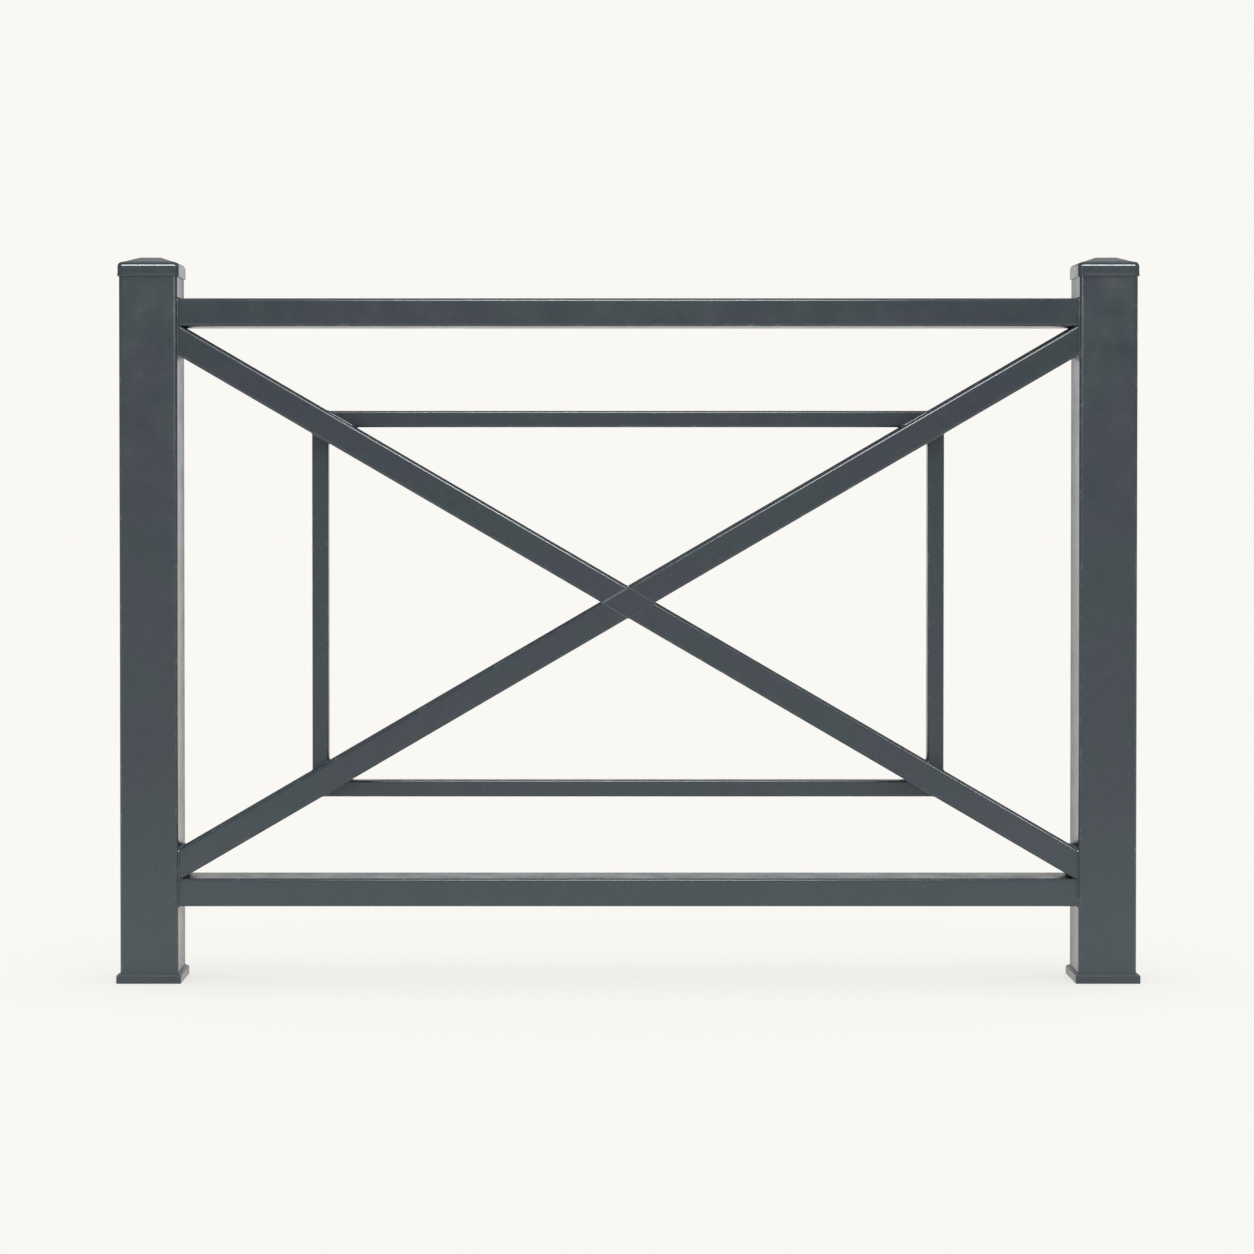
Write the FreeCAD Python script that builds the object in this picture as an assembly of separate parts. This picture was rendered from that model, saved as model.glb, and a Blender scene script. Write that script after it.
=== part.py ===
import FreeCAD, Part
import math
import os

# Pedestrian guard railing: two capped square posts, a top and a bottom rail, two crossed
# braces and a slimmer inner frame. All sizes are in millimetres. The origin is the centre
# of the left post's foot, +X runs along the railing to the right post and +Z is up.

# Overall layout
overall_length = 1400.0
overall_height = 1000.0

# Square tube posts
post_width = 80.0
post_wall = 3.0
post_corner_radius = 6.0

# Moulded post caps
cap_wall = 2.2
cap_fit_clearance = 0.3
cap_skirt_height = 17.0
cap_rise = 10.5
cap_flat_width = 29.0
cap_shoulder_radius = 4.5
cap_lip_chamfer = 1.2
cap_roof_thickness = 3.0
cap_plug_wall = 2.0
cap_plug_depth = 14.0

# Ground collars around the posts
collar_wall = 4.2
collar_fit_clearance = 0.3
collar_height = 14.2
collar_corner_radius = 1.2
collar_bevel_width = 3.9
collar_bevel_height = 3.9

# Top and bottom rails, rectangular tube
rail_height = 38.5
rail_depth = 70.0
rail_wall = 2.5
rail_corner_radius = 4.0
top_rail_drop = 57.2
bottom_rail_ground_gap = 105.0

# Crossed braces, flush with the rails at the front and back
brace_width = 36.5
brace_wall = 2.5
brace_corner_radius = 4.0
brace_rail_lap = 5.0

# Inner frame of slim square tube, centred in the depth of the braces
inner_bar_width = 22.5
inner_bar_depth = 22.5
inner_bar_wall = 1.5
inner_bar_corner_radius = 3.0
inner_side_gap = 194.0
inner_top_drop = 127.0
inner_bottom_rise = 122.0

# Fillet weld beads
post_weld_leg = 2.3
inner_weld_leg = 2.1
crossing_weld_leg = 1.4
weld_crest = 0.4
weld_corner_chords = 3

# Places that follow from the sizes above
post_spacing = overall_length - post_width
post_inner_face = post_width / 2
bay_length = post_spacing - post_width
mid_span = post_spacing / 2
half_bay = bay_length / 2
cap_shoulder_height = overall_height - cap_rise
cap_skirt_bottom = cap_shoulder_height - cap_skirt_height
post_height = cap_shoulder_height - cap_roof_thickness
top_rail_top = overall_height - top_rail_drop
top_rail_underside = top_rail_top - rail_height
bottom_rail_top = bottom_rail_ground_gap + rail_height
crossing_height = (top_rail_underside + bottom_rail_top) / 2
brace_depth = rail_depth
inner_bar_left = post_inner_face + inner_side_gap
inner_bar_top = top_rail_underside - inner_top_drop
inner_bar_bottom = bottom_rail_top + inner_bottom_rise

# The brace's outer edge meets the rail a short lap away from the post
lap_run = half_bay - brace_rail_lap
lap_rise = top_rail_underside - crossing_height
lap_reach = math.hypot(lap_run, lap_rise)
brace_angle = math.atan2(lap_rise, lap_run) - math.asin(brace_width / 2 / lap_reach)
brace_half_length = half_bay / math.cos(brace_angle) + brace_width

depth_axis = FreeCAD.Vector(0, 1, 0)
along = FreeCAD.Vector(1, 0, 0)
up = FreeCAD.Vector(0, 0, 1)
crossing_point = FreeCAD.Vector(mid_span, 0, crossing_height)
falling_direction = FreeCAD.Vector(math.cos(brace_angle), 0, -math.sin(brace_angle))
rising_direction = FreeCAD.Vector(math.cos(brace_angle), 0, math.sin(brace_angle))
falling_normal = FreeCAD.Vector(math.sin(brace_angle), 0, math.cos(brace_angle))
rising_normal = FreeCAD.Vector(-math.sin(brace_angle), 0, math.cos(brace_angle))


def rounded_outline(size_u, size_v, radius):
    """A rounded rectangle in the XY plane, centred on the origin."""
    half_u = size_u / 2
    half_v = size_v / 2
    inset = radius * (1 - math.sqrt(0.5))
    edges = []
    corners = ((1, 1), (-1, 1), (-1, -1), (1, -1))
    starts_on_side = True
    previous_end = None
    first_start = None
    for sign_u, sign_v in corners:
        on_side = FreeCAD.Vector(sign_u * half_u, sign_v * (half_v - radius), 0)
        on_top = FreeCAD.Vector(sign_u * (half_u - radius), sign_v * half_v, 0)
        middle = FreeCAD.Vector(sign_u * (half_u - inset), sign_v * (half_v - inset), 0)
        start, end = (on_side, on_top) if starts_on_side else (on_top, on_side)
        if previous_end is not None:
            edges.append(Part.LineSegment(previous_end, start).toShape())
        else:
            first_start = start
        edges.append(Part.Arc(start, middle, end).toShape())
        previous_end = end
        starts_on_side = not starts_on_side
    edges.append(Part.LineSegment(previous_end, first_start).toShape())
    return Part.Wire(edges)


def set_on_plane(shape, centre, normal):
    """Turn a shape drawn in the XY plane so that its Z follows normal and its Y the depth."""
    turn = FreeCAD.Rotation(depth_axis.cross(normal), depth_axis, normal, "ZYX")
    shape.Placement = FreeCAD.Placement(centre, turn)
    return shape


def solid_bar(size_u, size_v, radius, start, direction, length):
    """A solid bar with rounded corners from start along direction."""
    outline = set_on_plane(rounded_outline(size_u, size_v, radius), start, direction)
    return Part.Face(outline).extrude(direction * length)


def square_bar(size_u, size_v, start, direction, length):
    """A solid bar with sharp corners, used to cut flat seats on the sides of a tube."""
    outline = Part.makePlane(size_u, size_v, FreeCAD.Vector(-size_u / 2, -size_v / 2, 0))
    return set_on_plane(outline, start, direction).extrude(direction * length)


def tube(size_u, size_v, radius, wall, start, direction, length):
    """A rectangular tube with rounded corners and one wall thickness all round."""
    inner_radius = max(radius - wall, wall / 2)
    outside = solid_bar(size_u, size_v, radius, start, direction, length)
    inside = solid_bar(
        size_u - 2 * wall, size_v - 2 * wall, inner_radius, start, direction, length
    )
    return outside.cut(inside)


def faceted_outline(size_u, size_v, radius, centre, normal):
    """Points round a rounded rectangle on a plane, with each corner cut into short chords."""
    side_axis = depth_axis.cross(normal)
    points = []
    for corner, (sign_u, sign_v) in enumerate(((1, 1), (-1, 1), (-1, -1), (1, -1))):
        for step in range(weld_corner_chords + 1):
            turn = math.pi / 2 * (corner + step / weld_corner_chords)
            reach_u = sign_u * (size_u / 2 - radius) + radius * math.cos(turn)
            reach_v = sign_v * (size_v / 2 - radius) + radius * math.sin(turn)
            points.append(centre + side_axis * reach_u + depth_axis * reach_v)
    return points


def weld_bead(size_u, size_v, radius, seat, seat_normal, direction, leg):
    """A fillet bead around a bar that leaves the seat plane along direction."""
    lean = direction.dot(seat_normal)
    footprint = size_u / lean
    crest_centre = seat + direction * (leg / lean)
    toe = faceted_outline(footprint + 2 * leg, size_v + 2 * leg, radius + leg, seat, seat_normal)
    crest = faceted_outline(
        footprint + 2 * weld_crest,
        size_v + 2 * weld_crest,
        radius + weld_crest,
        crest_centre,
        seat_normal,
    )
    faces = [
        Part.Face(Part.makePolygon(toe + toe[:1])),
        Part.Face(Part.makePolygon(crest + crest[:1])),
    ]
    for index in range(len(toe)):
        after = (index + 1) % len(toe)
        faces.append(
            Part.Face(
                Part.makePolygon([toe[index], toe[after], crest[after], crest[index], toe[index]])
            )
        )
    return Part.makeSolid(Part.makeShell(faces))


def across(shape):
    """The same shape on the other side of the railing's mid-span."""
    return shape.mirror(crossing_point, along)


def nearest_solid(shape, point):
    """Of the solids that a cut leaves, the one whose centre is nearest to point."""
    return min(shape.Solids, key=lambda solid: solid.CenterOfMass.distanceToPoint(point))


def seat_on_brace(bar_point, bar_direction, brace_normal):
    """Where a bar's centre line meets the side of a brace that faces the bar."""
    side = crossing_point + brace_normal * (brace_width / 2)
    reach = (side - bar_point).dot(brace_normal) / bar_direction.dot(brace_normal)
    return bar_point + bar_direction * reach


def crossed(profile, centre_x, reach):
    """A solid with one profile across it both ways, so that its slopes meet in hips."""
    profile.translate(FreeCAD.Vector(centre_x, -reach / 2, 0))
    one_way = profile.extrude(depth_axis * reach)
    other_way = one_way.copy()
    other_way.rotate(FreeCAD.Vector(centre_x, 0, 0), up, 90)
    return one_way.common(other_way)


# Posts
def post(centre_x):
    foot = FreeCAD.Vector(centre_x, 0, 0)
    return tube(post_width, post_width, post_corner_radius, post_wall, foot, up, post_height)


# Caps: a skirt over the post, a rounded shoulder, a low pyramid and a plug in the tube.
cap_skirt_width = post_width + 2 * (cap_fit_clearance + cap_wall)
cap_corner_radius = post_corner_radius + cap_fit_clearance + cap_wall


def roof_profile():
    half_width = cap_skirt_width / 2
    half_flat = cap_flat_width / 2
    slope_angle = math.atan2(cap_rise, half_width - half_flat)
    tangent_drop = cap_shoulder_radius * math.tan((math.pi / 2 - slope_angle) / 2)
    arc_centre = FreeCAD.Vector(
        half_width - cap_shoulder_radius, 0, cap_shoulder_height - tangent_drop
    )
    arc_points = []
    for turn in (0, (math.pi / 2 - slope_angle) / 2, math.pi / 2 - slope_angle):
        spoke = FreeCAD.Vector(math.cos(turn), 0, math.sin(turn))
        arc_points.append(arc_centre + spoke * cap_shoulder_radius)
    right_side = [
        FreeCAD.Vector(half_width, 0, cap_skirt_bottom),
        *arc_points,
        FreeCAD.Vector(half_flat, 0, overall_height),
    ]
    left_side = [FreeCAD.Vector(-point.x, 0, point.z) for point in reversed(right_side)]
    edges = []
    for side in (right_side, left_side):
        edges.append(Part.LineSegment(side[0], side[1]).toShape())
        edges.append(Part.Arc(side[1], side[2], side[3]).toShape())
        edges.append(Part.LineSegment(side[3], side[4]).toShape())
    edges.append(Part.LineSegment(right_side[-1], left_side[0]).toShape())
    edges.append(Part.LineSegment(left_side[-1], right_side[0]).toShape())
    return Part.Face(Part.Wire(Part.__sortEdges__(edges)))


def post_cap(centre_x):
    skirt_base = FreeCAD.Vector(centre_x, 0, cap_skirt_bottom)
    body = solid_bar(
        cap_skirt_width,
        cap_skirt_width,
        cap_corner_radius,
        skirt_base,
        up,
        overall_height - cap_skirt_bottom,
    )
    lip_edges = [
        edge
        for edge in body.Edges
        if all(abs(vertex.Z - cap_skirt_bottom) < cap_lip_chamfer for vertex in edge.Vertexes)
    ]
    body = body.makeChamfer(cap_lip_chamfer, lip_edges)
    roof = crossed(roof_profile(), centre_x, cap_skirt_width)
    socket_width = post_width + 2 * cap_fit_clearance
    socket = solid_bar(
        socket_width,
        socket_width,
        post_corner_radius + cap_fit_clearance,
        skirt_base,
        up,
        post_height - cap_skirt_bottom,
    )
    plug_width = post_width - 2 * (post_wall + cap_fit_clearance)
    plug_radius = max(post_corner_radius - post_wall - cap_fit_clearance, cap_plug_wall / 2)
    plug_base = FreeCAD.Vector(centre_x, 0, post_height - cap_plug_depth)
    plug = tube(
        plug_width, plug_width, plug_radius, cap_plug_wall, plug_base, up, cap_plug_depth
    )
    return body.common(roof).cut(socket).fuse(plug).removeSplitter()


# Collars: a square ring round the foot of each post, bevelled up to the post on all sides
def ground_collar(centre_x):
    foot = FreeCAD.Vector(centre_x, 0, 0)
    ring_width = post_width + 2 * (collar_fit_clearance + collar_wall)
    half_width = ring_width / 2
    right_side = [
        FreeCAD.Vector(half_width, 0, 0),
        FreeCAD.Vector(half_width, 0, collar_height - collar_bevel_height),
        FreeCAD.Vector(half_width - collar_bevel_width, 0, collar_height),
    ]
    left_side = [FreeCAD.Vector(-point.x, 0, point.z) for point in reversed(right_side)]
    profile = Part.Face(Part.makePolygon(right_side + left_side + right_side[:1]))
    ring = solid_bar(ring_width, ring_width, collar_corner_radius, foot, up, collar_height)
    ring = ring.common(crossed(profile, centre_x, ring_width))
    hole_width = post_width + 2 * collar_fit_clearance
    hole = solid_bar(
        hole_width, hole_width, post_corner_radius + collar_fit_clearance, foot, up, collar_height
    )
    return ring.cut(hole)


# Rails between the posts' inner faces
def rail(centre_height):
    start = FreeCAD.Vector(post_inner_face, 0, centre_height)
    return tube(
        rail_height, rail_depth, rail_corner_radius, rail_wall, start, along, bay_length
    )


def rail_outline(centre_height):
    start = FreeCAD.Vector(post_inner_face, 0, centre_height)
    return solid_bar(rail_height, rail_depth, rail_corner_radius, start, along, bay_length)


top_rail_centre = top_rail_top - rail_height / 2
bottom_rail_centre = bottom_rail_top - rail_height / 2
top_rail_solid = rail_outline(top_rail_centre)
bottom_rail_solid = rail_outline(bottom_rail_centre)

# Braces, cut flat against the posts and the rails
bay = Part.makeBox(
    bay_length,
    post_width,
    top_rail_underside - bottom_rail_top,
    FreeCAD.Vector(post_inner_face, -post_width / 2, bottom_rail_top),
)


def brace_start(direction):
    return crossing_point - direction * brace_half_length


brace_length = 2 * brace_half_length
falling_start = brace_start(falling_direction)
rising_start = brace_start(rising_direction)
brace_section = (brace_width, brace_depth, brace_corner_radius)
falling_solid = solid_bar(*brace_section, falling_start, falling_direction, brace_length)
rising_solid = solid_bar(*brace_section, rising_start, rising_direction, brace_length)
falling_square = square_bar(
    brace_width, brace_depth, falling_start, falling_direction, brace_length
)
rising_square = square_bar(
    brace_width, brace_depth, rising_start, rising_direction, brace_length
)
falling_brace = tube(
    *brace_section, brace_wall, falling_start, falling_direction, brace_length
).common(bay)
rising_halves = (
    tube(*brace_section, brace_wall, rising_start, rising_direction, brace_length)
    .common(bay)
    .cut(falling_square)
)
rising_brace_lower = nearest_solid(rising_halves, rising_start)
rising_brace_upper = nearest_solid(rising_halves, rising_start + rising_direction * brace_length)


# Inner frame bars, each cut flat against the sides of the braces
def inner_bar(start, direction, length):
    full = tube(
        inner_bar_width,
        inner_bar_depth,
        inner_bar_corner_radius,
        inner_bar_wall,
        start,
        direction,
        length,
    )
    middle = start + direction * (length / 2)
    return nearest_solid(full.cut(falling_square.fuse(rising_square)), middle)


inner_top_start = FreeCAD.Vector(post_inner_face, 0, inner_bar_top)
inner_bottom_start = FreeCAD.Vector(post_inner_face, 0, inner_bar_bottom)
inner_left_start = FreeCAD.Vector(inner_bar_left, 0, bottom_rail_top)
inner_bar_rise = top_rail_underside - bottom_rail_top
inner_top_bar = inner_bar(inner_top_start, along, bay_length)
inner_bottom_bar = inner_bar(inner_bottom_start, along, bay_length)
inner_left_bar = inner_bar(inner_left_start, up, inner_bar_rise)
inner_right_bar = across(inner_left_bar)


# Weld beads where a rail and a brace meet a post
def corner_weld(rail_centre, rail_solid, brace_direction, brace_solid):
    rail_seat = FreeCAD.Vector(post_inner_face, 0, rail_centre)
    reach = half_bay / math.cos(brace_angle)
    brace_seat = crossing_point - brace_direction * reach
    rail_bead = weld_bead(
        rail_height, rail_depth, rail_corner_radius, rail_seat, along, along, post_weld_leg
    )
    brace_bead = weld_bead(*brace_section, brace_seat, along, brace_direction, post_weld_leg)
    both = rail_bead.fuse(brace_bead).removeSplitter()
    return both.cut(rail_solid).cut(brace_solid.common(bay))


upper_left_weld = corner_weld(
    top_rail_centre, top_rail_solid, falling_direction, falling_solid
)
lower_left_weld = corner_weld(
    bottom_rail_centre, bottom_rail_solid, rising_direction, rising_solid
)


# Weld beads at the ends of the inner bars
def inner_weld(bar_start, bar_direction, brace_normal):
    seat = seat_on_brace(bar_start, bar_direction, brace_normal)
    section = (inner_bar_width, inner_bar_depth, inner_bar_corner_radius)
    bead = weld_bead(*section, seat, brace_normal, bar_direction, inner_weld_leg)
    bar = solid_bar(*section, seat - bar_direction * bay_length, bar_direction, 2 * bay_length)
    return bead.cut(bar)


inner_top_left_weld = inner_weld(inner_top_start, along, falling_normal)
inner_bottom_left_weld = inner_weld(inner_bottom_start, along, rising_normal * -1)
inner_left_upper_weld = inner_weld(inner_left_start, up * -1, falling_normal * -1)
inner_left_lower_weld = inner_weld(inner_left_start, up, rising_normal)


# Weld beads at the crossing: the groove over the through brace's rounded edges is filled
# flush, and a small fillet closes each inside corner
def crossing_weld(rising_way, side_normal):
    seat = crossing_point + rising_way * (brace_width / 2 / rising_way.dot(side_normal))
    fillets = weld_bead(*brace_section, seat, side_normal, rising_way, crossing_weld_leg)
    grooves = falling_square.common(
        square_bar(
            brace_width + 2 * crossing_weld_leg,
            brace_depth,
            crossing_point,
            rising_way,
            brace_half_length,
        )
    )
    flush = Part.makeBox(
        bay_length,
        brace_depth,
        inner_bar_rise,
        FreeCAD.Vector(post_inner_face, -brace_depth / 2, bottom_rail_top),
    )
    return fillets.fuse(grooves).common(flush).cut(falling_solid).cut(
        rising_solid.cut(falling_square)
    )


crossing_upper_weld = crossing_weld(rising_direction, falling_normal)
crossing_lower_weld = crossing_weld(rising_direction * -1, falling_normal * -1)

nodes = {
    "left_post": post(0),
    "right_post": post(post_spacing),
    "left_post_cap": post_cap(0),
    "right_post_cap": post_cap(post_spacing),
    "left_ground_collar": ground_collar(0),
    "right_ground_collar": ground_collar(post_spacing),
    "top_rail": rail(top_rail_centre),
    "bottom_rail": rail(bottom_rail_centre),
    "falling_brace": falling_brace,
    "rising_brace_lower": rising_brace_lower,
    "rising_brace_upper": rising_brace_upper,
    "inner_top_bar": inner_top_bar,
    "inner_bottom_bar": inner_bottom_bar,
    "inner_left_bar": inner_left_bar,
    "inner_right_bar": inner_right_bar,
    "upper_left_weld": upper_left_weld,
    "upper_right_weld": across(upper_left_weld),
    "lower_left_weld": lower_left_weld,
    "lower_right_weld": across(lower_left_weld),
    "inner_top_left_weld": inner_top_left_weld,
    "inner_top_right_weld": across(inner_top_left_weld),
    "inner_bottom_left_weld": inner_bottom_left_weld,
    "inner_bottom_right_weld": across(inner_bottom_left_weld),
    "inner_left_upper_weld": inner_left_upper_weld,
    "inner_right_upper_weld": across(inner_left_upper_weld),
    "inner_left_lower_weld": inner_left_lower_weld,
    "inner_right_lower_weld": across(inner_left_lower_weld),
    "crossing_upper_weld": crossing_upper_weld,
    "crossing_lower_weld": crossing_lower_weld,
}

os.makedirs("parts", exist_ok=True)
for name, shape in nodes.items():
    shape.exportStep("parts/" + name + ".step")
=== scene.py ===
import math

import bmesh
import bpy
import numpy as np
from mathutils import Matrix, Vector


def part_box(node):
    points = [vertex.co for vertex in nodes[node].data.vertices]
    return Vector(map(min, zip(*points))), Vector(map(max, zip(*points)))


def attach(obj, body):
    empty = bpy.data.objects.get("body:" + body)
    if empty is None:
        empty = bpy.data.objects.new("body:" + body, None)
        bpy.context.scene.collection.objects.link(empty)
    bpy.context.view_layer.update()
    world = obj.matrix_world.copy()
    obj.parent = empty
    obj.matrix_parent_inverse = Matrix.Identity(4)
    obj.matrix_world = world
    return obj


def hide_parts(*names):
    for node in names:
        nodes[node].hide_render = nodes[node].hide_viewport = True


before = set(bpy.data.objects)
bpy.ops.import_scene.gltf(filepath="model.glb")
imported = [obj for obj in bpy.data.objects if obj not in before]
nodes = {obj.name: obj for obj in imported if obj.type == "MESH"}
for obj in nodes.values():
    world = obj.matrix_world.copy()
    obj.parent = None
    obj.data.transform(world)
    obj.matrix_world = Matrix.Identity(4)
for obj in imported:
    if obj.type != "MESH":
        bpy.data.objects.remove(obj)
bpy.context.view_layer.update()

# Sizes and places are in metres, in the railing's own frame: X along the railing, Y through
# its thickness away from the camera, Z up. The left post's foot is at the origin.
MM = 0.001


def box_middle(node, axis):
    low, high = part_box(node)
    return (low[axis] + high[axis]) / 2


def box_size(node, axis):
    low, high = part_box(node)
    return high[axis] - low[axis]


# Places read from the CAD nodes
POST_CENTRES = {"left": box_middle("left_post", 0), "right": box_middle("right_post", 0)}
POST_HALF = box_size("left_post", 0) / 2
MID_SPAN = (POST_CENTRES["left"] + POST_CENTRES["right"]) / 2
LEFT_SEAT = POST_CENTRES["left"] + POST_HALF
HALF_BAY = MID_SPAN - LEFT_SEAT
FRONT_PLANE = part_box("left_post")[0].y
RAIL_HALF_DEPTH = box_size("top_rail", 1) / 2
TOP_RAIL_LOW, TOP_RAIL_HIGH = (corner.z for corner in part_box("top_rail"))
BOTTOM_RAIL_LOW, BOTTOM_RAIL_HIGH = (corner.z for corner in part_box("bottom_rail"))
CROSSING_HEIGHT = (TOP_RAIL_LOW + BOTTOM_RAIL_HIGH) / 2
INNER_BAR_HALF_WIDTH = box_size("inner_left_bar", 0) / 2
INNER_BAR_HALF_DEPTH = box_size("inner_left_bar", 1) / 2

# Section sizes that the boxes don't give
BRACE_WIDTH = 36.5 * MM
RAIL_CORNER = 4 * MM
INNER_CORNER = 3 * MM
BRACE_RAIL_LAP = 5 * MM
LAP_RUN = HALF_BAY - BRACE_RAIL_LAP
LAP_RISE = TOP_RAIL_LOW - CROSSING_HEIGHT
BRACE_ANGLE = math.atan2(LAP_RISE, LAP_RUN) - math.asin(
    BRACE_WIDTH / 2 / math.hypot(LAP_RUN, LAP_RISE)
)
CROSSING = Vector((MID_SPAN, 0, CROSSING_HEIGHT))
ALONG = Vector((1, 0, 0))
DEPTH = Vector((0, 1, 0))
UP = Vector((0, 0, 1))
FALLING = Vector((math.cos(BRACE_ANGLE), 0, -math.sin(BRACE_ANGLE)))
RISING = Vector((math.cos(BRACE_ANGLE), 0, math.sin(BRACE_ANGLE)))
FALLING_NORMAL = Vector((math.sin(BRACE_ANGLE), 0, math.cos(BRACE_ANGLE)))
RISING_NORMAL = Vector((-math.sin(BRACE_ANGLE), 0, math.cos(BRACE_ANGLE)))

# Camera, from the photograph's perspective
IMAGE_SIZE = 1254
FOCAL_PIXELS = 2984.6
CAMERA_DISTANCE = 4.1
CAMERA_OFFSET = -0.06
CAMERA_HEIGHT = 0.691
CAMERA_PITCH = math.radians(0.8)
SENSOR_WIDTH = 36
MID_SPAN_PIXEL_X = 628.4
HORIZON_PIXEL_Y = 481.4

# Display colours of 0 to 255
BACKGROUND = (250, 248, 244)
COAT = (62, 74, 79)
COAT_COOL = (64, 72, 82)
COAT_WORN = (86, 93, 97)
# The lighter colour of dust, also used as a painted highlight on the collars' ledges
COAT_DUST_AND_HIGHLIGHT = (81, 94, 99)
# Lighter edge colour: worn nicks, and a painted highlight along the rounded edges
COAT_RUBBED_AND_HIGHLIGHT = (112, 119, 123)
# The seams' lighter tint is a painted highlight
SEAM_HIGHLIGHT_TINT = (101, 110, 115)
SEAM_HIGHLIGHT_COOL = (103, 112, 118)
CAP_TINT = (67, 78, 83)
CAP_COOL = (68, 76, 85)
COLLAR_TINT = (65, 75, 82)
COLLAR_COOL = (64, 74, 82)


def linear(display):
    """A display colour of 0 to 255 as linear RGBA, by the sRGB curve."""
    out = []
    for channel in display:
        value = channel / 255
        out.append(value / 12.92 if value <= 0.04045 else ((value + 0.055) / 1.055) ** 2.4)
    return (*out, 1.0)


def make_camera():
    data = bpy.data.cameras.new("camera")
    data.sensor_width = SENSOR_WIDTH
    data.lens = FOCAL_PIXELS / IMAGE_SIZE * SENSOR_WIDTH
    axis_pixel_y = HORIZON_PIXEL_Y + FOCAL_PIXELS * math.tan(CAMERA_PITCH)
    axis_pixel_x = MID_SPAN_PIXEL_X + FOCAL_PIXELS * CAMERA_OFFSET / CAMERA_DISTANCE
    data.shift_x = (IMAGE_SIZE / 2 - axis_pixel_x) / IMAGE_SIZE
    data.shift_y = (axis_pixel_y - IMAGE_SIZE / 2) / IMAGE_SIZE
    camera = bpy.data.objects.new("camera", data)
    camera.location = (
        MID_SPAN + CAMERA_OFFSET,
        FRONT_PLANE - CAMERA_DISTANCE,
        CAMERA_HEIGHT,
    )
    camera.rotation_euler = (math.pi / 2 - CAMERA_PITCH, 0, 0)
    bpy.context.scene.collection.objects.link(camera)
    bpy.context.scene.camera = camera


# The sockets of a mix node that carry colours
MIX_FIRST = 6
MIX_SECOND = 7
MIX_RESULT = 2


class Tree:
    """Adds nodes to one node tree and joins them, so that each material reads as a recipe."""

    def __init__(self, owner):
        owner.use_nodes = True
        self.tree = owner.node_tree
        self.tree.nodes.clear()

    def add(self, kind, inputs=None, **settings):
        node = self.tree.nodes.new(kind)
        for name, value in settings.items():
            setattr(node, name, value)
        for name, value in (inputs or {}).items():
            self.feed(node.inputs[name], value)
        return node

    def feed(self, socket, value):
        """Link a node's output to a socket, or set the socket's own value."""
        if isinstance(value, bpy.types.NodeSocket):
            self.tree.links.new(value, socket)
        else:
            socket.default_value = value

    def math(self, operation, first, second=0.0, clamp=False):
        node = self.add("ShaderNodeMath", {0: first, 1: second}, operation=operation)
        node.use_clamp = clamp
        return node.outputs[0]

    def ramp(self, value, low, high, to_low=0.0, to_high=1.0, kind="SMOOTHSTEP"):
        inputs = {"Value": value, "From Min": low, "From Max": high}
        inputs.update({"To Min": to_low, "To Max": to_high})
        return self.add("ShaderNodeMapRange", inputs, interpolation_type=kind).outputs[0]

    def mix(self, factor, first, second, blend="MIX"):
        node = self.add("ShaderNodeMix", data_type="RGBA", blend_type=blend)
        self.feed(node.inputs[0], factor)
        self.feed(node.inputs[MIX_FIRST], first)
        self.feed(node.inputs[MIX_SECOND], second)
        return node.outputs[MIX_RESULT]

    def noise(self, vector, scale, detail, roughness):
        inputs = {"Vector": vector, "Scale": scale, "Detail": detail, "Roughness": roughness}
        return self.add("ShaderNodeTexNoise", inputs).outputs["Fac"]


# World: levels of the sky and of the studio's parts
SKY_HORIZON = 0.3
SKY_OVERHEAD = 2.1
SKY_OVERHEAD_POWER = 4.0
SKY_TILT = 0.5
FRONT_LEVEL = 0.22
SIDE_LEVEL = 0.12
BACK_LEVEL = 0.95
BACK_UPPER_LEVEL = 0.1
CANOPY_LEVEL = 0.7
TOP_LEVEL = 0.12

# Where the studio's parts blend, in degrees of turn away from the camera's side
FRONT_TO_SIDE = (55, 75)
SIDE_TO_BACK = (145, 165)

# Where they blend upward, in degrees of rise
BACK_TO_UPPER = (6, 16)
UPPER_TO_CANOPY = (22, 36)
ROOM_TO_TOP = (50, 62)


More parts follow.
